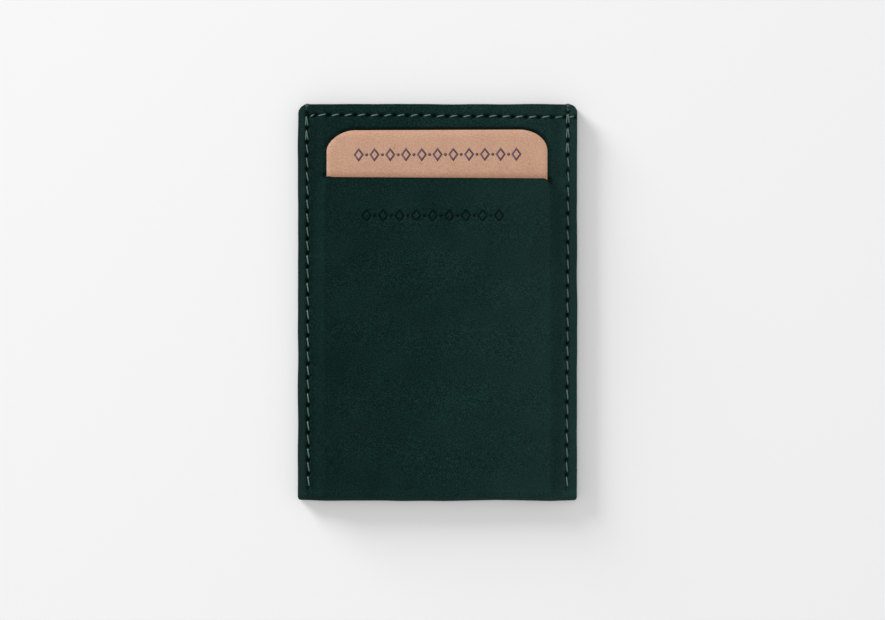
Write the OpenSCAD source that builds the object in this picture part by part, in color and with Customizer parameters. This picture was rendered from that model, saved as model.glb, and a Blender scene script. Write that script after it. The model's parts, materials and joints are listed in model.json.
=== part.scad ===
// Slim leather card holder with a slit pocket in its front and a stiff card insert in that pocket.
// It lies on its back: X runs across it, +Y points to the pocket mouth and Z is its thickness.
// The origin is the middle of its footprint, on the surface it rests on.

/* [Holder] */
// Width across both cut sides
holder_w = 70; // [68:0.5:76]
// Height from the bottom fold to the pocket mouth
holder_h = 99.5; // [96:0.5:106]
// Thickness of the outer leather
leather_t = 1.2; // [1:0.1:1.4]
// Thickness of the leather divider between the two pockets
divider_t = 0.7; // [0.6:0.05:0.9]
// How far the main pocket gapes in the middle
mouth_gap = 0.9; // [0.8:0.1:1.4]
// Width clipped off the top corners
top_corner = 1.5; // [0.5:0.1:2]
// Width clipped off the bottom corners
bottom_corner = 0.8; // [0.3:0.1:1]

/* [Slit] */
// Distance from the mouth down to the slit
slit_from_top = 18.6; // [16:0.1:24]
// Length of the slit
slit_l = 57.8; // [57:0.2:60]
// Width of the slit's cut
slit_cut = 0.5; // [0.4:0.1:0.8]

/* [Insert] */
// Width of the card insert
insert_w = 55.6; // [54:0.2:55.8]
// Length of the card insert
insert_l = 91; // [86:0.5:91]
// Thickness of the card insert
insert_t = 0.45; // [0.3:0.05:0.5]
// Corner radius of the card insert
insert_r = 5.5; // [3:0.5:8]

/* [Seams] */
// Distance of the side seams from the cut sides
side_margin = 2.3; // [2.1:0.1:2.6]
// Distance of the top seam from the mouth
top_margin = 3; // [2.8:0.1:3.4]
// Stitch length of the side seams
side_pitch = 3.5; // [3:0.1:3.5]
// Stitch length of the top seam
top_pitch = 3.3; // [3:0.1:3.3]
// Thread diameter
thread_d = 0.4; // [0.3:0.05:0.45]

/* [Hidden] */

leather_color = [0.08, 0.16, 0.15];
divider_color = [0.10, 0.19, 0.17];
insert_color = [0.77, 0.61, 0.51];
thread_color = [0.35, 0.48, 0.44];

half_w = holder_w / 2;
half_h = holder_h / 2;
ply_gap = 0.03;      // air left between two plies that lie on each other
slide_gap = 0.05;    // air between the insert and what it slides on
far_above = 12;      // a height past everything, for cutters

// Heights of the plies along the seams, where they are pressed together
divider_z = leather_t + ply_gap;
front_z = divider_z + divider_t + ply_gap;
stack_z = front_z + leather_t;

// The plies are flat and raised up to flat_half from the middle, and down again at seam_half
flat_half = insert_w / 2 + 0.1;
seam_half = half_w - side_margin - 1.3;

// The insert's plane: it stands on the divider at its foot and lies on the front's upper band at the slit
slit_y = half_h - slit_from_top;
foot_y = -half_h + 2.4;
foot_z = front_z - ply_gap + mouth_gap + slide_gap;
band_z = stack_z + mouth_gap;
insert_rise = (band_z + slide_gap - foot_z) / (slit_y + slit_cut - foot_y);
insert_tilt = atan(insert_rise);

// Share of the full rise at a distance from the middle line, falling from 1 to 0 between near and far
function share(x, near, far) =
    abs(x) <= near ? 1 :
    abs(x) >= far ? 0 :
    0.5 + 0.5 * cos(180 * (abs(x) - near) / (far - near));

// The front follows the insert up to the slit, and its bulge narrows to the slit's ends there
narrowing = 6;
function bulge_far(y) =
    let (near_slit = min(1, max(0, (y - slit_y + slit_cut / 2 + narrowing) / narrowing)))
    seam_half + (slit_l / 2 - seam_half) * near_slit;
function insert_top(y) = foot_z + insert_rise * (y - foot_y) + insert_t / cos(insert_tilt);
function front_lift(y) = y < slit_y ? insert_top(y) + slide_gap - front_z - mouth_gap : 0;
function front_under(x, y) =
    front_z + mouth_gap * share(x, flat_half, seam_half)
    + front_lift(y) * share(x, flat_half, bulge_far(y));

// Radius of the bottom fold, outside: tight at the seams and round in the middle
function fold_r(x) = (front_under(x, foot_y) + leather_t) / 2;

// Points of the folded sheet, one row after another from the back's mouth edge round to the front's
fold_steps = 8;
half_columns = concat(
    [for (k = [1 : 2]) flat_half * k / 2],
    [for (k = [1 : 3]) flat_half + (slit_l / 2 - flat_half) * k / 3],
    [for (k = [1 : 3]) slit_l / 2 + (seam_half - slit_l / 2) * k / 3],
    [half_w]);
columns = concat([for (k = [len(half_columns) - 1 : -1 : 0]) -half_columns[k]], [0], half_columns);
front_rows = [
    slit_y - slit_cut / 2 - narrowing,
    slit_y - slit_cut / 2 - narrowing / 2,
    slit_y - slit_cut / 2,
    slit_y + slit_cut / 2,
    half_h];

function back_row(z) = [for (x = columns) [x, half_h, z]];
function fold_row(a, inset) = [for (x = columns)
    let (r = fold_r(x))
    [x, -half_h + r - (r - inset) * cos(a), r + (r - inset) * sin(a)]];
function front_row(y, up) = [for (x = columns) [x, y, front_under(x, y) + up]];
function sheet_side(inset) = concat(
    [back_row(inset)],
    [for (k = [0 : fold_steps]) fold_row(-90 + 180 * k / fold_steps, inset)],
    [for (y = front_rows) front_row(y, leather_t - inset)]);

// Closed solid between two surfaces of the same rows and columns
module sheet_between(outer, inner) {
    rows = len(outer);
    cols = len(outer[0]);
    half = rows * cols;
    points = [for (side = [outer, inner]) for (row = side) for (p = row) p];
    function at(side, r, c) = side * half + r * cols + c;
    function quad(a, b, c, d) = [[a, b, c], [a, c, d]];
    faces = [
        for (r = [0 : rows - 2]) for (c = [0 : cols - 2])
            each concat(
                quad(at(0, r, c), at(0, r + 1, c), at(0, r + 1, c + 1), at(0, r, c + 1)),
                quad(at(1, r, c), at(1, r, c + 1), at(1, r + 1, c + 1), at(1, r + 1, c))),
        for (r = [0 : rows - 2])
            each concat(
                quad(at(0, r, 0), at(1, r, 0), at(1, r + 1, 0), at(0, r + 1, 0)),
                quad(at(0, r, cols - 1), at(0, r + 1, cols - 1), at(1, r + 1, cols - 1), at(1, r, cols - 1))),
        for (c = [0 : cols - 2])
            each concat(
                quad(at(0, 0, c), at(0, 0, c + 1), at(1, 0, c + 1), at(1, 0, c)),
                quad(at(0, rows - 1, c), at(1, rows - 1, c), at(1, rows - 1, c + 1), at(0, rows - 1, c + 1)))];
    polyhedron(points, faces, convexity = 6);
}

// Prisms that clip the four corners of the whole stack
module corner_clips() {
    for (side = [-1, 1]) {
        for (end = [[half_h, top_corner], [-half_h, bottom_corner]])
            translate([side * half_w, end[0], -1])
                rotate([0, 0, 45])
                    translate([-end[1] / sqrt(2), -end[1] / sqrt(2), 0])
                        cube([end[1] * sqrt(2), end[1] * sqrt(2), far_above]);
    }
}

// Stitch holes of the side seams, from the mouth down, and of the top seam, from left to right.
// The top seam starts beside the left seam and runs out under the right one.
seam_x = half_w - side_margin;
side_first = half_h - 2;
side_last = -half_h + 2.9;
side_count = floor((side_first - side_last) / side_pitch);
side_holes = [for (k = [0 : side_count]) side_first - k * side_pitch];
top_y = half_h - top_margin;
top_first = 1 - seam_x;
top_last = half_w - 0.8;
top_count = ceil((top_last - top_first) / top_pitch);
top_holes = [for (k = [0 : top_count]) top_first + (top_last - top_first) * k / top_count];

// Threads, and the room that they need
thread_r = thread_d / 2;
knuckle_r = thread_r * 1.42; // covers the corner where a leg meets the run
thread_gap = 0.03;          // air round a thread
hole_d = 2 * (knuckle_r + thread_gap);
groove_w = hole_d + 0.08;
groove_t = knuckle_r + 2 * thread_gap; // depth of a groove in which a thread stands half proud
sunk_z = knuckle_r + thread_gap;   // height of a thread that is sunk in the back
sunk_t = sunk_z + knuckle_r + thread_gap;
cross_z = stack_z - thread_r - thread_gap - knuckle_r; // where the top seam dives under a side seam
cross_t = stack_z - cross_z + knuckle_r + thread_gap;
edge_y = half_h - knuckle_r; // where a side seam's threads go over the mouth edge
lock_z = stack_z / 2;       // where the two threads of a side seam meet
lock_gap = knuckle_r + thread_gap; // from there to the end of either thread's leg

function divider_under(x) = divider_z + mouth_gap * share(x, flat_half, seam_half);

// The top seam's threads are raised in the middle, and down at both ends.
// They run level beside every hole, and slope only between two holes.
level_l = 0.7;
rise_edge = (flat_half + seam_half) / 2;
function thread_rise(x) = abs(x) < rise_edge ? mouth_gap : 0;
function level_after(k) = [top_holes[k] + level_l, thread_rise(top_holes[k])];
function level_before(k) = [top_holes[k] - level_l, thread_rise(top_holes[k])];
slopes = [
    for (k = [0 : top_count - 1])
        if (thread_rise(top_holes[k]) != thread_rise(top_holes[k + 1]))
            each [level_after(k), level_before(k + 1)]];
function needle_point(x) = [x, top_y, stack_z + thread_rise(x)];
function bobbin_point(x) = [x, top_y, divider_z + thread_rise(x)];
function top_lock(x) = (divider_z + stack_z) / 2 + thread_rise(x);

// Round bores that a needle makes at each of the points
module needle_holes(points, low, high) {
    for (p = points)
        translate([p[0], p[1], low])
            cylinder(d = hole_d, h = high - low, $fn = 24);
}

side_points = [for (side = [-1, 1], y = side_holes) [side * seam_x, y]];
top_points = [for (x = top_holes) [x, top_y]];

// Grooves of both side seams between two heights, open at the mouth edge
module side_grooves(low, high) {
    low_y = side_holes[side_count] - groove_w / 2;
    for (side = [-1, 1])
        translate([side * seam_x - groove_w / 2, low_y, low])
            cube([groove_w, half_h + 1 - low_y, high - low]);
}

// Notches in the mouth edge for the threads that go over it
module edge_notches() {
    for (side = [-1, 1])
        translate([side * seam_x - groove_w / 2, edge_y - knuckle_r - thread_gap, -1])
            cube([groove_w, 3, far_above]);
}

// The top seam's groove follows its threads, a little past both ends
top_ends = [top_holes[0] - groove_w / 2, top_holes[top_count] + groove_w / 2];
relief_x = seam_half - 1.9; // nearer the middle than this, the pocket's gap has room for the bobbin thread
module top_groove(low, high) {
    middle_line = concat([[top_ends[0], 0]], slopes, [[top_ends[1], 0]]);
    outline = concat(
        [for (p = middle_line) [p[0], low + p[1]]],
        [for (k = [len(middle_line) - 1 : -1 : 0]) [middle_line[k][0], high + middle_line[k][1]]]);
    translate([0, top_y + groove_w / 2, 0])
        rotate([90, 0, 0])
            linear_extrude(groove_w)
                polygon(outline);
}

// A round thread along a run of points, with a knuckle at each
module thread_run(points) {
    for (k = [0 : len(points) - 2]) {
        step = points[k + 1] - points[k];
        along = norm(step);
        translate(points[k])
            rotate([0, acos(step[2] / along), atan2(step[1], step[0])])
                cylinder(r = thread_r, h = along, $fn = 20);
    }
    for (p = points)
        translate(p)
            sphere(r = knuckle_r, $fn = 20);
}

// One thread of a side seam: along its face, over the mouth edge and into every hole
module side_thread(side, face_z, end_z) {
    x = side * seam_x;
    color(thread_color) {
        thread_run([[x, edge_y, face_z], [x, side_holes[side_count], face_z]]);
        for (y = concat([edge_y], side_holes))
            thread_run([[x, y, face_z], [x, y, end_z]]);
    }
}
module side_needle_thread(side) {
    side_thread(side, stack_z, lock_z + lock_gap);
}
module side_bobbin_thread(side) {
    side_thread(side, sunk_z, lock_z - lock_gap);
}

module outer_leather() {
    color(leather_color)
    difference() {
        sheet_between(sheet_side(0), sheet_side(leather_t));
        corner_clips();
        // the slit
        translate([-slit_l / 2, slit_y - slit_cut / 2, front_z - 0.3])
            cube([slit_l, slit_cut, far_above]);
        needle_holes(side_points, -1, far_above);
        needle_holes(top_points, front_z - 0.4, far_above);
        side_grooves(stack_z - groove_t, far_above);
        side_grooves(-1, sunk_t);
        edge_notches();
        top_groove(stack_z - groove_t, far_above);
        // relief in the back's inner face, for the ends of the top seam's bobbin thread
        for (end = [[top_ends[0], -relief_x], [relief_x, top_ends[1]]])
            translate([end[0], top_y - groove_w / 2, leather_t - groove_t])
                cube([end[1] - end[0], groove_w, groove_t + ply_gap]);
        // the pit between the last two holes, where the top seam dives under the right side seam
        translate([top_holes[top_count - 1], top_y - groove_w / 2, stack_z - cross_t])
            cube([top_last - top_holes[top_count - 1], groove_w, far_above]);
    }
}

module pocket_divider() {
    low_y = -half_h + 1.8;
    outline = concat(
        [for (x = columns) [x, divider_under(x)]],
        [for (k = [len(columns) - 1 : -1 : 0]) [columns[k], divider_under(columns[k]) + divider_t]]);
    color(divider_color)
    difference() {
        translate([0, half_h, 0])
            rotate([90, 0, 0])
                linear_extrude(half_h - low_y)
                    polygon(outline);
        corner_clips();
        needle_holes(side_points, -1, far_above);
        needle_holes(top_points, -1, far_above);
        edge_notches();
        top_groove(-1, divider_z + groove_t);
    }
}

module card_insert() {
    color(insert_color)
    translate([0, foot_y, foot_z])
        rotate([insert_tilt, 0, 0])
            linear_extrude(insert_t)
                union() {
                    translate([-insert_w / 2, insert_r])
                        square([insert_w, insert_l - 2 * insert_r]);
                    translate([-insert_w / 2 + insert_r, 0])
                        square([insert_w - 2 * insert_r, insert_l]);
                    for (x = [-1, 1], y = [insert_r, insert_l - insert_r])
                        translate([x * (insert_w / 2 - insert_r), y])
                            circle(r = insert_r, $fn = 48);
                }
}

module top_needle_thread() {
    bends = concat(slopes, [
        level_after(top_count - 1), [seam_x, cross_z - stack_z], level_before(top_count)]);
    color(thread_color) {
        thread_run(concat(
            [needle_point(top_first)],
            [for (b = bends) [b[0], top_y, stack_z + b[1]]],
            [needle_point(top_last)]));
        for (x = top_holes)
            thread_run([needle_point(x), [x, top_y, top_lock(x) + lock_gap]]);
    }
}

module top_bobbin_thread() {
    color(thread_color) {
        thread_run(concat(
            [bobbin_point(top_first)],
            [for (s = slopes) [s[0], top_y, divider_z + s[1]]],
            [bobbin_point(top_last)]));
        for (x = top_holes)
            thread_run([bobbin_point(x), [x, top_y, top_lock(x) - lock_gap]]);
    }
}

outer_leather();
pocket_divider();
card_insert();
side_needle_thread(-1);  // left_seam_needle_thread
side_bobbin_thread(-1);  // left_seam_bobbin_thread
side_needle_thread(1);  // right_seam_needle_thread
side_bobbin_thread(1);  // right_seam_bobbin_thread
top_needle_thread();  // top_seam_needle_thread
top_bobbin_thread();  // top_seam_bobbin_thread
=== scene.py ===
import json
import math
import random

import bmesh
import bpy
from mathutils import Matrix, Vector, noise


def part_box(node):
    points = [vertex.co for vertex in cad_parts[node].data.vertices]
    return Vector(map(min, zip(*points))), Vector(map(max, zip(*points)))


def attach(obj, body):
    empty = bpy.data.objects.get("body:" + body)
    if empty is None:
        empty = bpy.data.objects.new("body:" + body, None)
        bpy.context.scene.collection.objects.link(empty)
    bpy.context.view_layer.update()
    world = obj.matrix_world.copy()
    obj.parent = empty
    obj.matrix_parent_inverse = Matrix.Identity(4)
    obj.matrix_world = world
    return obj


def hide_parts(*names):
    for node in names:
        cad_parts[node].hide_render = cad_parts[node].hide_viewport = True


# Card holder: one folded hide with a slit in its front, a thin divider, a kraft insert and three sewn seams.
# The frame is in metres, and pieces are modelled in millimetres and scaled at the end.

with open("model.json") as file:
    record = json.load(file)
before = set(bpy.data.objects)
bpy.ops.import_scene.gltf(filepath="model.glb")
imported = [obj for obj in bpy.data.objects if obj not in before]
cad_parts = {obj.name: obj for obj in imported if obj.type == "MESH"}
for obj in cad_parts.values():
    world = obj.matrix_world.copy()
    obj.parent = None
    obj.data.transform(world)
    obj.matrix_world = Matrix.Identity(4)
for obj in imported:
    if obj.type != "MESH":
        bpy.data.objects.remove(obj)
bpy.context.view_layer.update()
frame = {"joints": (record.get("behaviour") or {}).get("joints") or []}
mm = 0.001


def boxInMm(node):
    low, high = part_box(node)
    return low / mm, high / mm


hideLow, hideHigh = boxInMm("outer_leather")
boardLow, boardHigh = boxInMm("card_insert")
dividerLow, dividerHigh = boxInMm("pocket_divider")

ply = {"hide": 1.2, "divider": 0.7, "board": 0.45, "air": 0.03, "slide": 0.05}
slit = {
    "fromMouth": 18.42, "halfLength": 28.9, "cut": 0.1, "narrowing": 6,
    "slope": 0.006, "leftUp": 0.25, "rightDown": 0.5, "bendReach": 3.0,
    "gape": 0.36, "gapeFrom": 28.3, "lipShade": 0.45, "lipWidth": 0.6,
    # its two openings, darkened with painted shade: place across, height above the cut, half width and half
    # height
    "openings": ((-28.4, 0.35, 0.5, 0.6), (28.15, 0.1, 0.35, 0.7)),
}
seamClamp = 3.6  # from the cut sides inwards, the plies are pressed together
sharpAngle = 1.2  # edges that turn more than this, in radians, are rounded

halfWidth = hideHigh.x
mouthY = hideHigh.y
foldY = hideLow.y
slitY = mouthY - slit["fromMouth"]
dividerBase = dividerLow.z
gape = dividerHigh.z - dividerLow.z - ply["divider"]
frontBase = dividerBase + ply["divider"] + ply["air"]
stackTop = frontBase + ply["hide"]
flatHalf = boardHigh.x + 0.1
seamHalf = halfWidth - seamClamp
slideAxis = frame["joints"][0]["axis"]
boardSlope = slideAxis[2] / slideAxis[1]


def smooth(value):  # eases in and out between 0 and 1
    value = min(1, max(0, value))
    return value * value * (3 - 2 * value)


def mix(a, b, share):
    return a + (b - a) * share


def bell(value, width):  # 1 in its middle, falling off on both sides
    return math.exp(-(value / width) ** 2)


def rise(x, near, far):  # 1 in the middle, falling to 0 between near and far
    return 0.5 + 0.5 * math.cos(math.pi * min(1, max(0, (abs(x) - near) / (far - near))))


def boardTop(y):  # upper face of the insert, which leans in its pocket
    return boardLow.z + boardSlope * (y - boardLow.y) + ply["board"]


def frontUnder(x, y):  # inner face of the front panel
    bulgeFar = mix(seamHalf, slit["halfLength"], min(1, max(0, (y - slitY) / slit["narrowing"] + 1)))
    lift = boardTop(y) + ply["slide"] - frontBase - gape if y < slitY else 0
    return frontBase + gape * rise(x, flatHalf, seamHalf) + lift * rise(x, flatHalf, bulgeFar)


def dividerUnder(x):  # lower face of the divider
    return dividerBase + gape * rise(x, flatHalf, seamHalf)


def wander(x, y, size, seed):  # slow unevenness between -1 and 1
    return noise.noise(Vector((x / size, y / size, seed)))


def cutLines(bm, axis, places):  # cuts a flat sheet along straight lines across one axis
    for place in places:
        where = Vector((0, 0, 0))
        where[axis] = place
        facing = Vector((0, 0, 0))
        facing[axis] = 1
        bmesh.ops.bisect_plane(bm, geom=bm.verts[:] + bm.edges[:] + bm.faces[:], dist=1e-5,
                               plane_co=where, plane_no=facing)


def clipCorner(bm, point, facing):  # takes off what lies past a plane
    bmesh.ops.bisect_plane(bm, geom=bm.verts[:] + bm.edges[:] + bm.faces[:], dist=1e-5,
                           plane_co=point, plane_no=facing, clear_outer=True)


def facingOut(angle, side, way):  # a direction in the plane, with its angle from the X axis in degrees
    return Vector((side * math.cos(math.radians(angle)), way * math.sin(math.radians(angle)), 0))


def roundCorner(bm, corner, side, way, radius, angles):
    centre = corner - Vector((side * radius, way * radius, 0))
    for angle in angles:
        facing = facingOut(angle, side, way)
        clipCorner(bm, centre + facing * radius, facing)


def stations(*runs):  # (start, end, step) runs, joined into one list of places
    places = []
    for start, end, step in runs:
        count = max(1, round((end - start) / step))
        places += [start + (end - start) * k / count for k in range(count)]
    return places + [runs[-1][1]]


def flatRectangle(bm, width, low, high):
    bmesh.ops.create_grid(bm, x_segments=1, y_segments=1, size=0.5)
    for v in bm.verts:
        v.co.x *= width
        v.co.y = mix(low, high, v.co.y + 0.5)


def thicken(bm, height):  # a flat sheet gets its thickness, upwards or downwards
    for f in bm.faces:
        if f.normal.z < 0:
            f.normal_flip()
    made = bmesh.ops.extrude_face_region(bm, geom=bm.faces[:])
    moved = [g for g in made["geom"] if isinstance(g, bmesh.types.BMVert)]
    bmesh.ops.translate(bm, vec=(0, 0, height), verts=moved)
    bmesh.ops.recalc_face_normals(bm, faces=bm.faces)


def roundRims(bm, radius, segments):
    rims = [e for e in bm.edges if len(e.link_faces) == 2 and e.calc_face_angle(0) > sharpAngle]
    bmesh.ops.bevel(bm, geom=rims, offset=radius, offset_type="OFFSET", segments=segments,
                    profile=0.5, affect="EDGES", clamp_overlap=True, material=-1)


def newPiece(name, bm, materials, body, nodes):
    bmesh.ops.scale(bm, vec=(mm, mm, mm), verts=bm.verts)
    mesh = bpy.data.meshes.new(name)
    bm.to_mesh(mesh)
    bm.free()
    piece = bpy.data.objects.new(name, mesh)
    bpy.context.scene.collection.objects.link(piece)
    for material in materials:
        mesh.materials.append(material)
    for polygon in mesh.polygons:
        polygon.use_smooth = True
    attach(piece, body)
    if nodes:
        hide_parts(*nodes)


def newMaterial(name):
    material = bpy.data.materials.new(name)
    material.use_nodes = True
    tree = material.node_tree
    shader = tree.nodes["Principled BSDF"]
    return material, tree, shader


def node(tree, kind, **settings):
    made = tree.nodes.new(kind)
    for key, value in settings.items():
        if key in made.inputs:
            made.inputs[key].default_value = value
        else:
            setattr(made, key, value)
    return made


def link(tree, source, target):
    tree.links.new(source, target)


def toLinear(red, green, blue):
    def one(value):
        value /= 255
        return value / 12.92 if value <= 0.04045 else ((value + 0.055) / 1.055) ** 2.4
    return one(red), one(green), one(blue), 1


def colorRamp(tree, stops):
    ramp = node(tree, "ShaderNodeValToRGB")
    ramp.color_ramp.elements[0].position, ramp.color_ramp.elements[0].color = stops[0]
    ramp.color_ramp.elements[1].position, ramp.color_ramp.elements[1].color = stops[-1]
    for position, color in stops[1:-1]:
        ramp.color_ramp.elements.new(position).color = color
    return ramp


def noiseNode(tree, coords, size, detail=2.0, roughness=0.5, stretch=(1, 1, 1)):  # size in millimetres
    mapping = node(tree, "ShaderNodeMapping")
    mapping.inputs["Scale"].default_value = stretch
    link(tree, coords.outputs["Object"], mapping.inputs["Vector"])
    texture = node(tree, "ShaderNodeTexNoise", Scale=1 / (size * mm), Detail=detail, Roughness=roughness)
    link(tree, mapping.outputs["Vector"], texture.inputs["Vector"])
    return texture.outputs["Fac"]


def mapRange(tree, value, low, high, toLow=0.0, toHigh=1.0):
    ranged = node(tree, "ShaderNodeMapRange", **{"From Min": low, "From Max": high,
                                                 "To Min": toLow, "To Max": toHigh})
    link(tree, value, ranged.inputs["Value"])
    return ranged.outputs["Result"]


def blendColors(tree, share, a, b):
    mixer = node(tree, "ShaderNodeMix", data_type="RGBA")
    for socket, value in ((mixer.inputs[0], share), (mixer.inputs[6], a), (mixer.inputs[7], b)):
        if isinstance(value, bpy.types.NodeSocket):
            link(tree, value, socket)
        else:
            socket.default_value = value
    return mixer.outputs[2]


def calc(tree, operation, a, b=0.0):
    worker = node(tree, "ShaderNodeMath", operation=operation)
    for socket, value in zip(worker.inputs, (a, b)):
        if isinstance(value, bpy.types.NodeSocket):
            link(tree, value, socket)
        else:
            socket.default_value = value
    return worker.outputs[0]


def bump(tree, height, depth, below=None):  # depth in millimetres
    bumped = node(tree, "ShaderNodeBump", Distance=depth * mm)
    link(tree, height, bumped.inputs["Height"])
    if below:
        link(tree, below, bumped.inputs["Normal"])
    return bumped.outputs["Normal"]


# the grain side of the hide; sizes and places in millimetres, tones as steps along its three colours
calf = {
    "dark": toLinear(3, 19, 17),
    "middle": toLinear(12, 35, 32),
    "light": toLinear(30, 57, 53),
    # the greyer colour below is a painted sheen, mixed in towards the right, along the cut sides and on the
    # fold
    "paintedSheenColor": toLinear(44, 60, 56),
    # the hole colour darkens the painted shade in the stitch holes and the slit's open ends, the painted
    # shadow along the insert's edge, and the ornament's darker lines
    "hole": toLinear(2, 8, 7),
    "cloud": 9.0, "pebble": 0.5, "speckle": 0.23,
    "cloudTone": (0.44, 0.56), "pebbleTone": (-0.07, 0.07), "speckleTone": (-0.38, 0.46),
    # the left-to-right tone is painted light, lighter towards the right
    "paintedLightLeftToRight": (-0.09, 0.11), "cutSideTone": 0.09, "cutSideGrain": 0.5, "cutSide": (2.1, 1.5),
    # painted sheen towards the right and along the cut sides, and painted light on the fold
    "paintedSheenFrom": 4.0, "paintedSheenRight": 0.12, "paintedSheenSides": (0.2, 0.0), "paintedFoldLight": 0.15,
    "grainDepth": 0.045, "roughness": (0.58, 0.76), "shine": 0.03,
}


def calfLeather():
    material, tree, shader = newMaterial("green_calf")
    coords = node(tree, "ShaderNodeTexCoord")
    clouds = noiseNode(tree, coords, calf["cloud"], detail=3.0)
    pebbles = noiseNode(tree, coords, calf["pebble"], detail=3.0, roughness=0.6)
    speckle = noiseNode(tree, coords, calf["speckle"], detail=2.0, roughness=0.7)
    place = node(tree, "ShaderNodeSeparateXYZ")
    link(tree, coords.outputs["Object"], place.inputs[0])

    def fade(axis, start, end, low=0.0, high=1.0):  # runs from low to high between two places
        return mapRange(tree, place.outputs[axis], start * mm, end * mm, low, high)

    leftSide, rightSide = -halfWidth, halfWidth
    # painted shade on the slope beside the left seam, and painted light on the slope by the right seam
    paintedShadeLeftSlope = calc(tree, "MULTIPLY", fade("X", leftSide + 3.1, leftSide + 4.1),
                      fade("X", leftSide + 7.8, leftSide + 6.4))
    paintedLightRightSlope = calc(tree, "MULTIPLY", fade("X", rightSide - 7.6, rightSide - 6.2),
                     fade("X", rightSide - 2.0, rightSide - 3.0))
    # painted light near the fold
    paintedLightNearFold = fade("Y", foldY + 3.4, foldY + 1.2)
    nearMouth = fade("Y", mouthY - 3.6, mouthY - 2.2)
    fromMiddle = calc(tree, "ABSOLUTE", place.outputs["X"])
    cutSide = mapRange(tree, fromMiddle, *[(halfWidth - inset) * mm for inset in calf["cutSide"]])

    # grain, then painted shade and light: a little darker on the slope beside the left seam, and lighter to
    # the right, on the slope by the right seam and near the fold; also lighter along the cut edges
    grain = calc(tree, "ADD", mapRange(tree, pebbles, 0.32, 0.68, *calf["pebbleTone"]),
                 mapRange(tree, speckle, 0.32, 0.72, *calf["speckleTone"]))
    grainShare = mapRange(tree, cutSide, 0.0, 1.0, 1.0, calf["cutSideGrain"])
    tone = calc(tree, "ADD", mapRange(tree, clouds, 0.3, 0.7, *calf["cloudTone"]),
                fade("X", leftSide, rightSide, *calf["paintedLightLeftToRight"]))
    tone = calc(tree, "ADD", tone, calc(tree, "MULTIPLY", grain, grainShare))
    for zone, amount in ((cutSide, calf["cutSideTone"]), (paintedShadeLeftSlope, -0.075), (paintedLightRightSlope, 0.09),
                         (paintedLightNearFold, 0.12), (nearMouth, 0.05)):
        tone = calc(tree, "ADD", tone, calc(tree, "MULTIPLY", zone, amount))
    ramp = colorRamp(tree, [(0.1, calf["dark"]), (0.5, calf["middle"]), (0.9, calf["light"])])
    link(tree, tone, ramp.inputs["Fac"])

    # painted sheen and light: towards the right, along the cut sides and on the fold the colour turns a
    # little greyer
    wearAndPaintedSheen = calc(tree, "ADD", fade("X", calf["paintedSheenFrom"], rightSide, 0.0, calf["paintedSheenRight"]),
                calc(tree, "MULTIPLY", cutSide, fade("X", leftSide, rightSide, *calf["paintedSheenSides"])))
    wearAndPaintedSheen = calc(tree, "ADD", wearAndPaintedSheen, fade("Y", foldY + 2.0, foldY + 0.3, 0.0, calf["paintedFoldLight"]))
    color = blendColors(tree, wearAndPaintedSheen, ramp.outputs["Color"], calf["paintedSheenColor"])
    # painted shade in the stitch holes and the slit's open ends, and a painted shadow along the insert's
    # edge, darken the grain side here; so do the ornament's pressed lines and the lip of the slit
    pressed = node(tree, "ShaderNodeAttribute", attribute_name="pressed")
    color = blendColors(tree, pressed.outputs["Fac"], color, calf["hole"])
    link(tree, color, shader.inputs["Base Color"])
    relief = bump(tree, pebbles, calf["grainDepth"])
    relief = bump(tree, speckle, calf["grainDepth"], relief)
    link(tree, relief, shader.inputs["Normal"])
    link(tree, mapRange(tree, speckle, 0.3, 0.7, *calf["roughness"]), shader.inputs["Roughness"])
    shader.inputs["Specular IOR Level"].default_value = calf["shine"]
    return material


def fleshSide():  # the brushed inner face of the leather
    material, tree, shader = newMaterial("brushed_flesh_side")
    coords = node(tree, "ShaderNodeTexCoord")
    fibres = noiseNode(tree, coords, 0.35, detail=5.0, roughness=0.7)
    ramp = colorRamp(tree, [(0.3, toLinear(20, 38, 35)), (0.75, toLinear(38, 62, 57))])
    link(tree, fibres, ramp.inputs["Fac"])
    link(tree, ramp.outputs["Color"], shader.inputs["Base Color"])
    link(tree, bump(tree, fibres, 0.08), shader.inputs["Normal"])
    shader.inputs["Roughness"].default_value = 0.9
    shader.inputs["Specular IOR Level"].default_value = 0.15
    return material


def edgePaint():  # the sealed cut edges
    material, tree, shader = newMaterial("painted_edge")
    coords = node(tree, "ShaderNodeTexCoord")
    streaks = noiseNode(tree, coords, 0.9, detail=3.0)
    ramp = colorRamp(tree, [(0.3, toLinear(10, 26, 24)), (0.75, toLinear(19, 40, 37))])
    link(tree, streaks, ramp.inputs["Fac"])
    # the same painted shade darkens the edges in the slit's open ends and the stitch holes
    pressed = node(tree, "ShaderNodeAttribute", attribute_name="pressed")
    color = blendColors(tree, pressed.outputs["Fac"], ramp.outputs["Color"], calf["hole"])
    link(tree, color, shader.inputs["Base Color"])
    link(tree, bump(tree, streaks, 0.05), shader.inputs["Normal"])
    link(tree, mapRange(tree, streaks, 0.3, 0.7, 0.42, 0.6), shader.inputs["Roughness"])
    shader.inputs["Specular IOR Level"].default_value = 0.3
    return material


kraft = {
    "shades": (toLinear(177, 135, 110), toLinear(191, 150, 126), toLinear(204, 165, 141)),
    # the darker line's colour and share are a painted shadow of the slit's lip
    "fleckColor": toLinear(160, 116, 92), "lipShadowColor": toLinear(150, 96, 74),
    "fibre": 0.36, "cloud": 5.0, "fleck": 0.7, "fleckShare": 0.5, "lipShadowShare": 0.45,
    "fibreDepth": 0.02, "roughness": 0.85, "shine": 0.2,
}


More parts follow.
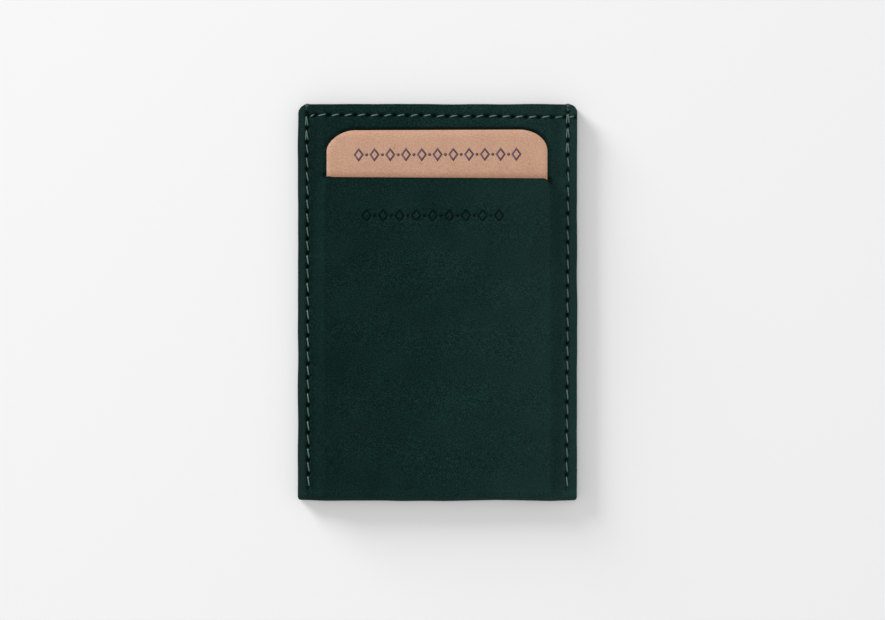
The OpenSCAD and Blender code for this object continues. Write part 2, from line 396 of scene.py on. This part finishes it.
def kraftBoard():
    material, tree, shader = newMaterial("kraft_board")
    coords = node(tree, "ShaderNodeTexCoord")
    fibres = noiseNode(tree, coords, kraft["fibre"], detail=3.0, roughness=0.6, stretch=(0.7, 1, 1))
    clouds = noiseNode(tree, coords, kraft["cloud"], detail=2.0)
    flecks = noiseNode(tree, coords, kraft["fleck"], detail=2.0, roughness=0.6, stretch=(1, 0.35, 1))
    tone = calc(tree, "ADD", calc(tree, "MULTIPLY", fibres, 0.82), calc(tree, "MULTIPLY", clouds, 0.18))
    ramp = colorRamp(tree, list(zip((0.3, 0.5, 0.7), kraft["shades"])))
    link(tree, tone, ramp.inputs["Fac"])
    fleckShare = calc(tree, "MULTIPLY", mapRange(tree, flecks, 0.68, 0.76), kraft["fleckShare"])
    color = blendColors(tree, fleckShare, ramp.outputs["Color"], kraft["fleckColor"])
    # painted shadow of the slit's lip: a faint darker line on the board where the lip lies over it
    place = node(tree, "ShaderNodeSeparateXYZ")
    link(tree, coords.outputs["Object"], place.inputs[0])
    above = mapRange(tree, place.outputs["Y"], (slitY + 1.5) * mm, (slitY + 0.1) * mm,
                     0.0, kraft["lipShadowShare"])
    below = mapRange(tree, place.outputs["Y"], (slitY - 2.0) * mm, (slitY - 0.2) * mm)
    color = blendColors(tree, calc(tree, "MULTIPLY", above, below), color, kraft["lipShadowColor"])
    link(tree, color, shader.inputs["Base Color"])
    link(tree, bump(tree, fibres, kraft["fibreDepth"]), shader.inputs["Normal"])
    shader.inputs["Roughness"].default_value = kraft["roughness"]
    shader.inputs["Specular IOR Level"].default_value = kraft["shine"]
    return material


def boardEdge():
    material, tree, shader = newMaterial("board_cut_edge")
    coords = node(tree, "ShaderNodeTexCoord")
    layers = noiseNode(tree, coords, 0.12, detail=2.0, stretch=(0.1, 0.1, 1))
    ramp = colorRamp(tree, [(0.3, toLinear(205, 150, 124)), (0.7, toLinear(232, 184, 158))])
    link(tree, layers, ramp.inputs["Fac"])
    link(tree, ramp.outputs["Color"], shader.inputs["Base Color"])
    shader.inputs["Roughness"].default_value = 0.9
    return material


def ink():
    material, tree, shader = newMaterial("plum_ink")
    coords = node(tree, "ShaderNodeTexCoord")
    wearAndPaintedSheen = noiseNode(tree, coords, 0.25, detail=3.0, roughness=0.7)
    ramp = colorRamp(tree, [(0.3, toLinear(84, 66, 78)), (0.75, toLinear(114, 92, 98))])
    link(tree, wearAndPaintedSheen, ramp.inputs["Fac"])
    link(tree, ramp.outputs["Color"], shader.inputs["Base Color"])
    shader.inputs["Roughness"].default_value = 0.9
    shader.inputs["Specular IOR Level"].default_value = 0.05
    return material


yarn = {
    # the sunken colour is painted shade where the thread sinks into its holes
    "dark": toLinear(42, 70, 65), "light": toLinear(92, 127, 119), "sunkenShade": toLinear(6, 16, 14),
    "fuzz": 0.12, "fuzzDepth": 0.03, "roughness": 0.5, "sheen": 0.2,
}


def sewingThread():
    material, tree, shader = newMaterial("sewing_thread")
    coords = node(tree, "ShaderNodeTexCoord")
    fuzz = noiseNode(tree, coords, yarn["fuzz"], detail=3.0, roughness=0.6)
    ramp = colorRamp(tree, [(0.25, yarn["dark"]), (0.75, yarn["light"])])
    link(tree, fuzz, ramp.inputs["Fac"])
    # painted shade: the thread is darker where it sinks below the leather's face
    sunkenShade = node(tree, "ShaderNodeAttribute", attribute_name="sunkenShade")
    color = blendColors(tree, sunkenShade.outputs["Fac"], ramp.outputs["Color"], yarn["sunkenShade"])
    link(tree, color, shader.inputs["Base Color"])
    link(tree, bump(tree, fuzz, yarn["fuzzDepth"]), shader.inputs["Normal"])
    shader.inputs["Roughness"].default_value = yarn["roughness"]
    shader.inputs["Sheen Weight"].default_value = yarn["sheen"]
    return material


finishes = {
    "calf": calfLeather(), "flesh": fleshSide(), "edge": edgePaint(), "board": kraftBoard(),
    "boardEdge": boardEdge(), "ink": ink(), "thread": sewingThread(),
}
print("finishes made:", len(finishes))


def holeLine(start, end, count, seed, jitter=0.1):  # a row of stitch holes, as unevenly spaced as sewn ones
    dice = random.Random(seed)
    places = []
    for k in range(count):
        share = k / (count - 1)
        places.append(Vector((mix(start[0], end[0], share) + dice.uniform(-1, 1) * jitter * 0.4,
                              mix(start[1], end[1], share) + dice.uniform(-1, 1) * jitter)))
    return places


# the seams run from the mouth to the fold, and from the left side to the right
seams = {
    "left": holeLine((-halfWidth + 2.3, mouthY - 2.5), (-halfWidth + 2.65, foldY + 3.2), count=28, seed=3),
    "right": holeLine((halfWidth - 2.25, mouthY - 1.9), (halfWidth - 2.65, foldY + 3.0), count=27, seed=5),
    "top": [Vector((-halfWidth + 2.75, mouthY - 3.0))]
           + holeLine((-halfWidth + 4.5, mouthY - 2.65), (halfWidth - 2.9, mouthY - 3.25), count=20, seed=7)
           + [Vector((halfWidth - 0.15, mouthY - 3.25))],
}
# how the stitches pull the leather in: a shallow channel along each seam, and a dark hole at each stitch, its
# darkness painted shade
stitchPull = {
    "channel": 0.10, "channelWidth": 0.7, "backChannel": 0.52, "backWidth": 0.5, "fadeOut": 1.5,
    "hole": 0.66, "holeWide": 0.38, "holeLong": {"left": 0.56, "right": 0.56, "top": 0.62},
    "reach": 2.4, "deepest": 0.75, "shade": 1.15, "lastHole": 0.35,
}


def seamPull(side, x, y, channel, width):  # how far a seam pulls the face in, and how much painted shade darkens it there
    point = Vector((x, y))
    holes = seams[side]
    along = 0 if side == "top" else 1
    best = min(holes, key=lambda hole: abs(hole[along] - point[along]))
    lengthwise = point[along] - best[along]
    sideways = point[1 - along] - best[1 - along]
    inside = (holes[0][along] - point[along]) * (holes[-1][along] - point[along]) < 0
    fade = 1 if inside else max(0, 1 - abs(lengthwise) / stitchPull["fadeOut"])
    hole = bell(lengthwise, stitchPull["holeLong"][side]) * bell(sideways, stitchPull["holeWide"])
    if best is holes[-1] and side != "top":
        hole *= stitchPull["lastHole"]  # it has closed round the thread's end
    return channel * bell(sideways, width) * fade + stitchPull["hole"] * hole, hole


def facePull(sides, x, y, channel, width):
    depth, dark = 0, 0
    for side in sides:
        across = y - seams[side][0].y if side == "top" else x - seams[side][0].x
        if abs(across) < stitchPull["reach"]:
            more, hole = seamPull(side, x, y, channel, width)
            depth += more
            dark = max(dark, hole)
    return min(depth, stitchPull["deepest"]), min(1, stitchPull["shade"] * dark)


def frontPull(x, y):
    return facePull(("left", "right", "top"), x, y, stitchPull["channel"], stitchPull["channelWidth"])


def backPull(x, y):
    return facePull(("left", "right"), x, y, stitchPull["backChannel"], stitchPull["backWidth"])


# the hide is cut flat, then pressed, folded and stretched over the plies: runs are lengths along the blank,
# and past slackFrom the leather is stretched to meet its fold
hide = {
    "run": 97.0, "foldRun": 7.0, "slackFrom": 70.0,
    "leftClip": 1.45, "clipCrown": 0.118, "rightRound": 2.1, "bottomRound": 0.8, "edgeRound": 0.28,
    "unevenness": 0.10, "edgeWander": 0.13, "mouthWander": 1.3, "foldWander": 2.0, "endZone": 4.0,
}
blankLength = 2 * hide["run"] + hide["foldRun"]
# sizes of the finer faces where stitches and the ornament press into the hide
fineFaces = {"ornament": 0.17, "frontSeams": 0.2, "backSeams": 0.3, "topSeam": 0.2, "boardCorners": 0.3}
topBand = {"from": 1.5, "to": 7.2}  # the strip of the top seam, from the mouth
# the ornament that is pressed into the front
press = {"x": -1.1, "y": mouthY - 28.0, "motifs": 9, "pitch": 4.15, "width": 2.7, "height": 3.5,
         "line": 0.42, "dot": 0.42, "depth": 0.22, "soft": 0.12, "shade": 0.6}
# the insert; a corner has its width, its height and the power of its curve, and the left ones are flatter
board = {
    "corners": {-1: (6.9, 5.1, 1.75), 1: (7.1, 5.4, 2.0)}, "cornerCuts": 15,
    "halfWidth": boardHigh.x - 0.15, "shift": -0.12, "short": 0.4, "lean": 0.004, "edgeRound": 0.13,
    # the imprint's strengths also set its painted shadow
    "imprintDepth": 0.06, "imprintAndShadowAtSides": 0.15, "imprintAndShadowAtTop": 0.8,
}


def lozengeRow(x, y, spec):  # how far inside the ornament's lines a point is, in millimetres
    half = (spec["motifs"] - 1) / 2
    k = min(spec["motifs"] - 1, max(0, round(x / spec["pitch"] + half)))
    dx = abs(x - (k - half) * spec["pitch"])
    dy = abs(y)
    slope = math.hypot(1 / spec["width"], 1 / spec["height"]) * 2
    inside = (1 - dx / (spec["width"] / 2) - dy / (spec["height"] / 2)) / slope
    ring = spec["line"] / 2 - abs(inside - spec["line"] / 2)
    j = min(spec["motifs"] - 2, max(0, round(x / spec["pitch"] + half - 0.5)))
    dot = spec["dot"] - math.hypot(x - (j - half + 0.5) * spec["pitch"], y)
    return max(ring, dot)


def imprintAndShadow(x, y):  # the board's top edge and sides press a faint line into the band round it, and a painted shadow of the board darkens that line
    side = -1 if x < 0 else 1
    wide, tall, power = board["corners"][side]
    halfBoard, top = board["halfWidth"], boardHigh.y - board["short"] + board["lean"] * x
    dx = max(0, (abs(x - board["shift"]) - halfBoard + wide) / wide)
    dy = max(0, (y - top + tall) / tall)
    if dx and dy:
        outside = ((dx ** power + dy ** power) ** (1 / power) - 1) * tall
    else:
        outside = max((dx - 1) * wide, (dy - 1) * tall)
    strength = mix(board["imprintAndShadowAtSides"], board["imprintAndShadowAtTop"], smooth((y - top + tall) / tall))
    return strength * smooth(1.3 - abs(outside - 0.25) / 0.7) if y > slitY else 0


def lipShade(x, y):  # the lip of the slit is darker along its edge
    if y >= slitY or abs(x) >= slit["halfLength"]:
        return 0
    return slit["lipShade"] * smooth(1 - (slitY - y) / slit["lipWidth"])


def slitEndShade(x, y):  # the slit stands open at its two ends, darkened there with painted shade
    shades = [math.exp(-((x - endX) / wide) ** 4 - ((y - slitY - up) / tall) ** 4)
              for endX, up, wide, tall in slit["openings"]]
    return max(shades)


def foldRadius(x):  # half of the holder's thickness at its fold
    return (frontUnder(x, boardLow.y) + ply["hide"]) / 2


def placeAlong(x, run):  # how high up the holder a point lies that is this far down from a mouth edge
    stretch = (foldY + foldRadius(x)) - (mouthY - hide["run"])
    return mouthY - run + stretch * smooth((run - hide["slackFrom"]) / (hide["run"] - hide["slackFrom"]))


def slitShift(x, y):  # the cut slopes a little, turns up at its left end and down at its right end
    bent = (-slit["slope"] * x + slit["leftUp"] * smooth((-x - 26.0) / 1.6)
            - slit["rightDown"] * smooth((x - 26.6) / 1.4))
    gap = slit["gape"] * bell(abs(x) - slit["gapeFrom"], 0.6) * bell(y - slitY, 0.8)
    return bent * bell(y - slitY, slit["bendReach"]) + math.copysign(gap, y - slitY)


def sideWander(x, y):  # the cut sides run a little unevenly, alike on all plies
    return (hide["edgeWander"] * wander(math.copysign(9, x), y, 7, 4.1)
            * smooth((abs(x) / halfWidth - 0.86) / 0.14))


def unevenEdges(x, y):  # rounded bottom corners and slightly uneven cut edges
    corner = hide["bottomRound"]
    fromFold = max(0, y - foldY)
    narrower = 0
    if fromFold < corner:
        narrower = corner - math.sqrt(corner ** 2 - (corner - fromFold) ** 2)
    atSide = smooth((abs(x) / halfWidth - 0.9) / 0.1)
    x += sideWander(x, y) - math.copysign(narrower, x) * atSide
    zone = hide["endZone"]
    toMouth = hide["mouthWander"] * smooth((y - mouthY + zone) / zone)
    toFold = hide["foldWander"] * smooth((foldY + zone - y) / zone)
    y += hide["edgeWander"] * (wander(x, 3, 9, 7.3) * toMouth + wander(x, 5, 8, 2.2) * toFold)
    return x, y


def bentHide(flat):  # a point of the flat blank, taken to its place in the folded hide
    x, along, depth = flat
    radius = foldRadius(x)
    frontEnd, backStart = hide["run"], hide["run"] + hide["foldRun"]
    if along <= frontEnd:
        y = placeAlong(x, along)
        z = frontUnder(x, y) + ply["hide"] - depth
        z += hide["unevenness"] * wander(x, y, 17, 1.7) * rise(x, flatHalf - 6, seamHalf)
        y += slitShift(x, y)
    elif along >= backStart:
        y = placeAlong(x, blankLength - along)
        z = depth
    else:
        angle = math.pi * (0.5 - (along - frontEnd) / hide["foldRun"])
        y = foldY + radius - (radius - depth) * math.cos(angle)
        z = radius + (radius - depth) * math.sin(angle)
    return Vector((*unevenEdges(x, y), z))


def hideBlank():
    bm = bmesh.new()
    flatRectangle(bm, 2 * halfWidth, 0, blankLength)
    middle, nearSeam = 26.0, 31.0
    slitEnd = slit["halfLength"]
    half = stations((0, middle, 2.0), (middle, flatHalf, 0.6), (flatHalf, slitEnd, 0.25),
                    (slitEnd, nearSeam, 0.7), (nearSeam, halfWidth, 0.33))[1:-1]
    slitTop, slitLow = slit["fromMouth"] - slit["cut"] / 2, slit["fromMouth"] + slit["cut"] / 2
    frontEnd, backStart = hide["run"], hide["run"] + hide["foldRun"]
    seamEnd = topBand["to"]
    rows = stations((0, seamEnd, 0.4), (seamEnd, slitTop - 1, 1.0), (slitTop - 1, slitTop, 0.5),
                    (slitTop, slitLow, 0.5), (slitLow, slitLow + 2, 0.5), (slitLow + 2, frontEnd, 1.0),
                    (frontEnd, backStart, 0.6), (backStart, blankLength, 1.5))[1:-1]
    cutLines(bm, 1, rows)
    cutLines(bm, 0, [-x for x in reversed(half)] + [0] + half)
    # corners at the mouth, alike on the front and the back: clipped on the left, rounded on the right
    clip = hide["leftClip"]
    for mouth, way in ((0, -1), (blankLength, 1)):
        cutMiddle = Vector((-halfWidth + clip / 2, mouth - way * clip / 2, 0))
        for angle, crown in ((45, 0), (24, hide["clipCrown"]), (66, hide["clipCrown"])):
            facing = facingOut(angle, -1, way)
            clipCorner(bm, cutMiddle + facing * crown, facing)
        roundCorner(bm, Vector((halfWidth, mouth, 0)), 1, way, hide["rightRound"], (12, 28, 45, 62, 78))
    # the slit
    gone = [f for f in bm.faces
            if abs(f.calc_center_median().x) < slitEnd and slitTop < f.calc_center_median().y < slitLow]
    bmesh.ops.delete(bm, geom=gone, context="FACES")
    return bm


def refineFace(bm, acrossRange, alongRange, size):  # cuts the outer face's edges inside a rectangle
    for axis in (0, 1):
        groups = {}
        for e in bm.edges:
            a, b = e.verts[0].co, e.verts[1].co
            if min(a.z, b.z) < -1e-4 or abs(a[1 - axis] - b[1 - axis]) > 1e-4:
                continue
            centre = (a + b) / 2
            if acrossRange[0] < centre.x < acrossRange[1] and alongRange[0] < centre.y < alongRange[1]:
                cuts = math.ceil(e.calc_length() / size) - 1
                if cuts > 0:
                    groups.setdefault(cuts, []).append(e)
        for cuts, edges in sorted(groups.items()):
            bmesh.ops.subdivide_edges(bm, edges=[e for e in edges if e.is_valid], cuts=cuts,
                                      use_grid_fill=True)


def makeHide():
    bm = hideBlank()
    thicken(bm, -ply["hide"])
    roundRims(bm, hide["edgeRound"], 3)
    halfRow = press["pitch"] * press["motifs"] / 2
    pressAlong = mouthY - press["y"]
    backSeams = blankLength - hide["run"]
    cornerBand = (topBand["to"] + 0.1, 12.0)  # where the insert's corners press into the hide
    refineFace(bm, (-halfRow + press["x"] - 1, halfRow + press["x"] + 1),
               (pressAlong - press["height"] / 2 - 0.6, pressAlong + press["height"] / 2 + 0.6),
               fineFaces["ornament"])
    for side in (-1, 1):
        strip = sorted((side * (seamHalf - 0.1), side * (halfWidth - 0.6)))
        refineFace(bm, strip, (0.4, hide["run"]), fineFaces["frontSeams"])
        refineFace(bm, strip, (backSeams, blankLength - 0.4), fineFaces["backSeams"])
        refineFace(bm, sorted((side * 20.5, side * slit["halfLength"])), cornerBand,
                   fineFaces["boardCorners"])
    refineFace(bm, (-seamHalf, seamHalf), (topBand["from"], topBand["to"]), fineFaces["topSeam"])
    # finishes: 0 grain side, 1 flesh side, 2 painted edge
    for f in bm.faces:
        if abs(f.normal.z) < 0.93:
            f.material_index = 2
        elif f.calc_center_median().z < -ply["hide"] / 2:
            f.material_index = 1
    # pressed marks and painted shade: the ornament's darker lines and the slit's lip, with painted shade in
    # the stitch holes and the slit's open ends and a painted shadow along the insert's edge
    pressedLayer = bm.verts.layers.float.new("pressed")
    for v in bm.verts:
        x, along, z = v.co
        depth = -z
        outerShare = max(0, 1 - depth / ply["hide"])
        pull, dark = 0, 0
        if along < hide["run"]:
            y = placeAlong(x, along)
            pull, dark = frontPull(x, y)
            if z > -1e-4 and abs(x) < halfRow + 2 and abs(along - pressAlong) < press["height"]:
                inside = lozengeRow(x - press["x"], y - press["y"], press)
                line = smooth(inside / press["soft"] + 0.5)
                pull += press["depth"] * line
                dark = max(dark, press["shade"] * line)
            if z > -1e-4:
                # the insert's edge dents the band a little, and a painted shadow darkens the same line
                mark = imprintAndShadow(x, y)
                pull += board["imprintDepth"] * mark
                dark = max(dark, mark, lipShade(x, y))
        elif along > blankLength - hide["run"]:
            pull, dark = backPull(x, placeAlong(x, blankLength - along))
        v[pressedLayer] = max(dark * outerShare, slitEndShade(x, mouthY - along))
        v.co = bentHide((x, along, depth + pull * outerShare))
    bmesh.ops.recalc_face_normals(bm, faces=bm.faces)
    newPiece("folded_hide", bm, [finishes["calf"], finishes["flesh"], finishes["edge"]],
             "holder", ["outer_leather"])


makeHide()
print("hide made")


# the divider between the two pockets
divider = {"fromFold": 1.85, "edgeRound": 0.15, "setBack": 0.05}


def makeDivider():
    bm = bmesh.new()
    low = foldY + divider["fromFold"]
    flatRectangle(bm, 2 * halfWidth, low, mouthY)
    half = stations((0, flatHalf, 4.0), (flatHalf, seamHalf, 0.35), (seamHalf, halfWidth, 0.9))[1:-1]
    cutLines(bm, 0, [-x for x in reversed(half)] + [0] + half)
    cutLines(bm, 1, stations((low, mouthY, 1.6))[1:-1])
    clip = hide["leftClip"]
    clipCorner(bm, Vector((-halfWidth + clip / 2, mouthY - clip / 2, 0)), facingOut(45, -1, 1))
    roundCorner(bm, Vector((halfWidth, mouthY, 0)), 1, 1, hide["rightRound"], (15, 45, 75))
    thicken(bm, -ply["divider"])
    roundRims(bm, divider["edgeRound"], 2)
    for f in bm.faces:
        f.material_index = 1 if abs(f.normal.z) < 0.93 else 0
    for v in bm.verts:
        v.co.z += dividerUnder(v.co.x) + ply["divider"]
        v.co.x += sideWander(v.co.x, v.co.y) - math.copysign(divider["setBack"], v.co.x)
    newPiece("divider_panel", bm, [finishes["flesh"], finishes["edge"]],
             "holder", ["pocket_divider"])


makeDivider()
print("divider made")


# the ornament printed on the kraft insert
printing = {"fromTop": 6.1, "motifs": 11, "pitch": 3.95, "width": 2.6, "height": 3.5, "line": 0.46,
            "dot": 0.4, "thickness": 0.015, "sunk": 0.003}


def boardPlace(flat):  # from the flat board to its plane in the pocket
    x, y, z = flat
    cosine = 1 / math.sqrt(1 + boardSlope ** 2)
    y += board["lean"] * x - boardLow.y
    return Vector((x, boardLow.y + y * cosine - z * boardSlope * cosine,
                   boardLow.z + y * boardSlope * cosine + z * cosine))


def boardOutline(bm):
    boardHeight = (boardHigh.y - board["short"] - boardLow.y) * math.sqrt(1 + boardSlope ** 2)
    halfBoard = board["halfWidth"]
    low, high = boardLow.y, boardLow.y + boardHeight
    flatRectangle(bm, 2 * halfBoard, low, high)
    cutLines(bm, 0, stations((-halfBoard, halfBoard, 1.2))[1:-1])
    cutLines(bm, 1, stations((low, high, 2.0))[1:-1])
    for side, (wide, tall, power) in board["corners"].items():
        for end, way in ((low, -1), (high, 1)):
            for k in range(1, board["cornerCuts"]):
                angle = math.pi / 2 * k / board["cornerCuts"]
                ex, ey = math.cos(angle) ** (2 / power), math.sin(angle) ** (2 / power)
                point = Vector((side * (halfBoard - wide + wide * ex), end - way * tall * (1 - ey), 0))
                facing = Vector((side * ex ** (power - 1) / wide, way * ey ** (power - 1) / tall, 0))
                clipCorner(bm, point, facing.normalized())
    bmesh.ops.translate(bm, vec=(board["shift"], 0, 0), verts=bm.verts)


def makeBoard():
    bm = bmesh.new()
    boardOutline(bm)
    thicken(bm, ply["board"])
    roundRims(bm, board["edgeRound"], 2)
    for f in bm.faces:
        f.material_index = 1 if abs(f.normal.z) < 0.8 else 0
    for v in bm.verts:
        v.co = boardPlace(v.co)
    bmesh.ops.recalc_face_normals(bm, faces=bm.faces)
    newPiece("kraft_insert", bm, [finishes["board"], finishes["boardEdge"]],
             "insert", ["card_insert"])


def makePrint():
    bm = bmesh.new()
    half = (printing["motifs"] - 1) / 2
    y = boardHigh.y - board["short"] - printing["fromTop"]
    for k in range(printing["motifs"]):
        made = bmesh.ops.create_circle(bm, cap_ends=True, segments=4, radius=0.5)
        for v in made["verts"]:
            v.co.x *= printing["width"]
            v.co.y *= printing["height"]
        middle = list({f for v in made["verts"] for f in v.link_faces})
        bmesh.ops.inset_individual(bm, faces=middle, thickness=printing["line"], use_even_offset=True)
        bmesh.ops.delete(bm, geom=middle, context="FACES_ONLY")
        ring = [v for v in bm.verts if not v.tag]
        bmesh.ops.translate(bm, vec=((k - half) * printing["pitch"], y, 0), verts=ring)
        for v in bm.verts:
            v.tag = True
    for k in range(printing["motifs"] - 1):
        made = bmesh.ops.create_circle(bm, cap_ends=True, segments=20, radius=printing["dot"])
        bmesh.ops.translate(bm, vec=((k - half + 0.5) * printing["pitch"], y, 0), verts=made["verts"])
    thicken(bm, printing["thickness"])
    for v in bm.verts:
        v.co = boardPlace((v.co.x, v.co.y, v.co.z + ply["board"] - printing["sunk"]))
    newPiece("printed_ornament", bm, [finishes["ink"]], "insert", [])


makeBoard()
makePrint()
print("insert made")


# the sewing threads: leans and biases are how far the ends and the middle of a stitch lie beside its seam
thread = {
    "radius": 0.145, "plyBulge": 0.035, "plies": 3, "twist": 1.0, "step": 0.16, "proud": 0.08,
    "lean": {"left": (-0.28, 0.28), "right": (-0.06, 0.34), "top": (-0.28, 0.42), "topBobbin": (-0.2, 0.2)},
    "backTackLean": (-0.36, -0.06), "backTackBias": -0.08, "doubled": {"left": 3, "right": 4},
    "dive": {"front": 0.9, "back": 0.55, "divider": 0.4}, "apart": 0.2,
    "level": {"side": 0.34, "top": 0.12, "topBobbin": 0.3},
}


def threadProfile():  # a lobed section, one lobe for each ply
    curve = bpy.data.curves.new("ply_section", "CURVE")
    spline = curve.splines.new("POLY")
    count = 4 * thread["plies"]
    spline.points.add(count - 1)
    for k in range(count):
        angle = 2 * math.pi * k / count
        r = (thread["radius"] + thread["plyBulge"] * math.cos(thread["plies"] * angle)) * mm
        spline.points[k].co = (r * math.cos(angle), r * math.sin(angle), 0, 1)
    spline.use_cyclic_u = True
    section = bpy.data.objects.new("ply_section", curve)
    bpy.context.scene.collection.objects.link(section)
    return section


section = threadProfile()


def strandMesh(name, route, face, outward, cadNode):
    curve = bpy.data.curves.new(name, "CURVE")
    curve.dimensions = "3D"
    curve.bevel_mode = "OBJECT"
    curve.bevel_object = section
    curve.use_fill_caps = True
    curve.twist_mode = "MINIMUM"
    spline = curve.splines.new("POLY")
    spline.points.add(len(route) - 1)
    turned = 0
    for k, point in enumerate(route):
        if k:
            turned += 2 * math.pi * (point - route[k - 1]).length / thread["twist"]
        spline.points[k].co = (*(point * mm), 1)
        spline.points[k].tilt = turned
    line = bpy.data.objects.new(name + "_line", curve)
    bpy.context.scene.collection.objects.link(line)
    bpy.context.view_layer.update()
    shaped = line.evaluated_get(bpy.context.evaluated_depsgraph_get())
    mesh = bpy.data.meshes.new_from_object(shaped)
    bpy.data.objects.remove(line)
    mesh.name = name
    mesh.materials.clear()
    mesh.materials.append(finishes["thread"])
    for polygon in mesh.polygons:
        polygon.use_smooth = True
    # painted shade on the thread, deepest where it sinks into the holes
    sunkenShade = mesh.attributes.new("sunkenShade", "FLOAT", "POINT")
    for v in mesh.vertices:
        x, y, z = v.co / mm
        sunkenShade.data[v.index].value = smooth((outward * (face(x, y) - z) + 0.02) / 0.3)
    piece = bpy.data.objects.new(name, mesh)
    bpy.context.scene.collection.objects.link(piece)
    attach(piece, "holder")
    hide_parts(cadNode)


def overStitches(holes, along, face, outward, lean, bias, dive, level):
    # a strand from hole to hole: lean is how far its ends lie beside the line of holes,
    # and level is the share of a stitch that lies on the leather
    route = []
    for a, b in zip(holes, holes[1:]):
        count = max(8, round((b - a).length * 1.4 / thread["step"]))
        for k in range(count):
            t = -1 + 2 * k / count
            flat = a.lerp(b, (t + 1) / 2)
            flat[1 - along] += mix(*lean, (t + 1) / 2) * (1 - t ** 8) + bias * (1 - t ** 4)
            height = thread["proud"] * (1 - t ** 4)
            height -= dive * smooth((abs(t) - level) / (1 - level))
            route.append(Vector((*flat, face(*flat) + outward * height)))
    last = holes[-1]
    route.append(Vector((*last, face(*last) - outward * dive)))
    return route


def overMouth(x, face, outward, middle):  # over the mouth edge, to the middle of the plies
    top = face(x, mouthY - 1)
    return [Vector((x, mouthY - 1.2, top - outward * 0.1)), Vector((x, mouthY - 0.7, top + outward * 0.08)),
            Vector((x, mouthY - 0.25, top + outward * 0.02)), Vector((x, mouthY + 0.02, top - outward * 0.3)),
            Vector((x, mouthY + 0.08, mix(top, middle, 0.6))), Vector((x, mouthY, middle + outward * 0.16))]


def frontFace(x, y):
    return frontUnder(x, y) + ply["hide"]


def backFace(x, y):  # the bobbin threads lie in a groove, so that the back rests flat
    return 0.3


def dividerFace(x, y):  # a little inside the divider's lower face
    return dividerUnder(x) + 0.12


def sideStrand(side, layer, face, outward, dive):  # up to the mouth, over its edge and back: a back-tack
    holes = seams[side]
    doubled = thread["doubled"][side]
    middle = stackTop / 2
    up = overStitches(holes[doubled - 1::-1], 1, face, outward, thread["backTackLean"],
                      thread["backTackBias"], dive, thread["level"]["side"])
    edge = overMouth(holes[0].x - thread["apart"], face, outward, middle)
    edge += reversed(overMouth(holes[0].x + thread["apart"], face, outward, middle))
    down = overStitches(holes, 1, face, outward, thread["lean"][side], 0, dive, thread["level"]["side"])
    strandMesh(f"{side}_{layer}_strand", up + edge + down, face, outward, f"{side}_seam_{layer}_thread")


def topStrand(layer, kind, face, outward, dive):
    route = overStitches(seams["top"], 0, face, outward, thread["lean"][kind], 0, dive, thread["level"][kind])
    strandMesh(f"top_{layer}_strand", route, face, outward, f"top_seam_{layer}_thread")


def makeThreads():
    dive = thread["dive"]
    for side in ("left", "right"):
        sideStrand(side, "needle", frontFace, 1, dive["front"])
        sideStrand(side, "bobbin", backFace, -1, dive["back"])
    topStrand("needle", "top", frontFace, 1, dive["front"])
    topStrand("bobbin", "topBobbin", dividerFace, -1, dive["divider"])


makeThreads()
bpy.data.objects.remove(section)
print("threads made")


# floor, light and camera; the view is as wide as given, in millimetres, at the front face
studio = {
    "view": 222.0, "lens": 200.0, "aimX": 1.25, "aimY": -1.86,
    "key": {"place": (-1.5, 1.5, 0.5), "size": 1.0, "power": 61.5},
    "top": {"place": (0, 0, 3.0), "size": 1.0, "power": 26.1},
    "surround": 0.468, "floorTone": 0.86, "floorHalf": 3000, "floorBelow": 0.02,
}


def makeFloor():
    bm = bmesh.new()
    bmesh.ops.create_grid(bm, x_segments=1, y_segments=1, size=studio["floorHalf"])
    bmesh.ops.translate(bm, vec=(0, 0, -studio["floorBelow"]), verts=bm.verts)
    bmesh.ops.scale(bm, vec=(mm, mm, mm), verts=bm.verts)
    mesh = bpy.data.meshes.new("floor")
    bm.to_mesh(mesh)
    bm.free()
    floor = bpy.data.objects.new("floor", mesh)
    bpy.context.scene.collection.objects.link(floor)
    material, tree, shader = newMaterial("pale_floor")
    shader.inputs["Base Color"].default_value = (*[studio["floorTone"]] * 3, 1)
    shader.inputs["Roughness"].default_value = 0.9
    shader.inputs["Specular IOR Level"].default_value = 0.1
    mesh.materials.append(material)


def softLight(name, place, size, power):
    lamp = bpy.data.lights.new(name, "AREA")
    lamp.shape = "DISK"
    lamp.size = size
    lamp.energy = power
    lit = bpy.data.objects.new(name, lamp)
    bpy.context.scene.collection.objects.link(lit)
    lit.location = place
    lit.rotation_euler = (-Vector(place)).to_track_quat("-Z", "Y").to_euler()


def makeStudio():
    makeFloor()
    softLight("key_light", **studio["key"])
    softLight("top_light", **studio["top"])
    world = bpy.data.worlds.new("studio")
    bpy.context.scene.world = world
    world.use_nodes = True
    background = world.node_tree.nodes["Background"]
    background.inputs["Color"].default_value = (1, 1, 1, 1)
    background.inputs["Strength"].default_value = studio["surround"]
    lens = bpy.data.cameras.new("camera")
    lens.lens = studio["lens"]
    camera = bpy.data.objects.new("camera", lens)
    bpy.context.scene.collection.objects.link(camera)
    distance = studio["view"] * studio["lens"] / lens.sensor_width
    camera.location = (studio["aimX"] * mm, studio["aimY"] * mm, (distance + stackTop) * mm)
    bpy.context.scene.camera = camera
    bpy.context.scene.view_settings.view_transform = "Standard"


makeStudio()
print("studio made")
